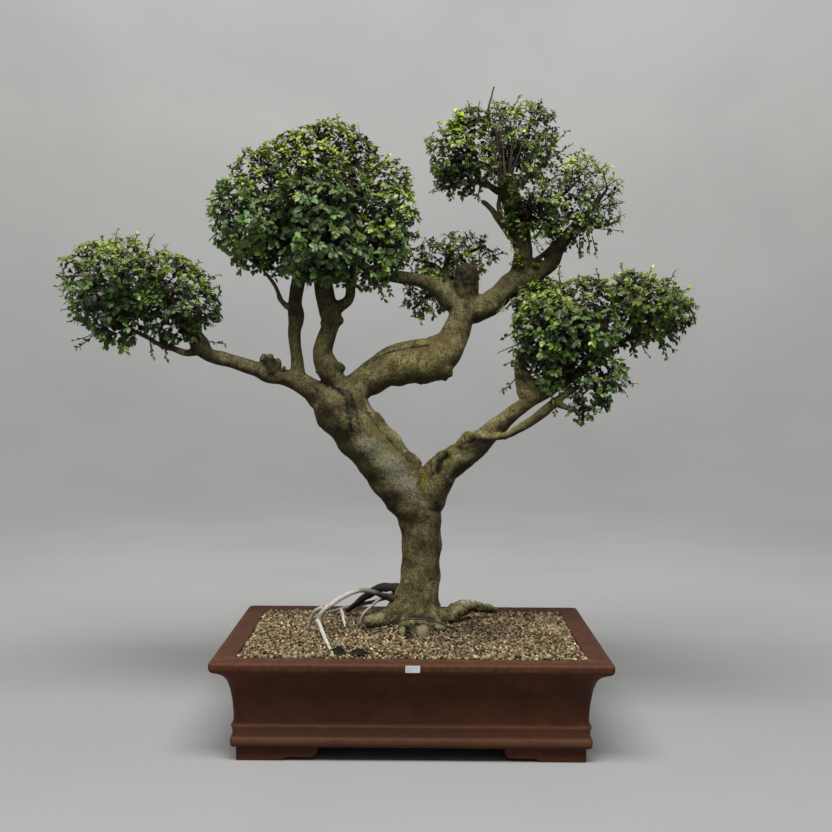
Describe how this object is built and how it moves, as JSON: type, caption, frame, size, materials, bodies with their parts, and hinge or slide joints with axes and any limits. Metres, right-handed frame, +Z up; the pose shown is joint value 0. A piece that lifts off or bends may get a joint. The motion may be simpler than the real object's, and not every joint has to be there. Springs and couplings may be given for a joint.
{
  "type": "chinese elm bonsai",
  "caption": "Chinese elm bonsai with a forked, bending trunk and cloud-like leaf pads, growing in gravel in a footed rectangular stoneware tray.",
  "frame": {"origin": "middle of the underside of the whole object's box, on the ground plane under the feet", "axes": "+Z up, +Y from the front of the tray towards its back, +X to the right seen from the front, along the tray's long side"},
  "size_m": [1.0462, 0.4206, 1.0712],
  "materials": {
    "stoneware": "unglazed, worn satin",
    "gravel": "rough mixed grains",
    "bark": "mottled bark",
    "leaves": "leaves, slightly glossy",
    "tie_wire": "anodised dark brown",
    "drain_mesh": "moulded mesh",
    "clip_wire": "bare wire",
    "tag": "blank white label",
    "dry_leaf": "dried leaf",
    "dry_twig": "dry twig"
  },
  "bodies": {
    "root": {"pot": "stoneware", "soil": "gravel", "tree": "bark", "tie_wire": "tie_wire", "drain_mesh_left": "drain_mesh", "drain_mesh_right": "drain_mesh", "mesh_clip_left": "clip_wire", "mesh_clip_right": "clip_wire", "label_tag": "tag", "dry_leaf_left": "dry_leaf", "dry_leaf_right": "dry_leaf", "dry_twig": "dry_twig", "foliage_left_outer": "leaves", "foliage_left_inner": "leaves", "foliage_center_left": "leaves", "foliage_center_top": "leaves", "foliage_center_right": "leaves", "foliage_crown_left": "leaves", "foliage_crown_top": "leaves", "foliage_crown_right": "leaves", "foliage_back": "leaves", "foliage_right_main": "leaves", "foliage_right_tip": "leaves", "foliage_right_low": "leaves"}
  },
  "joints": []
}
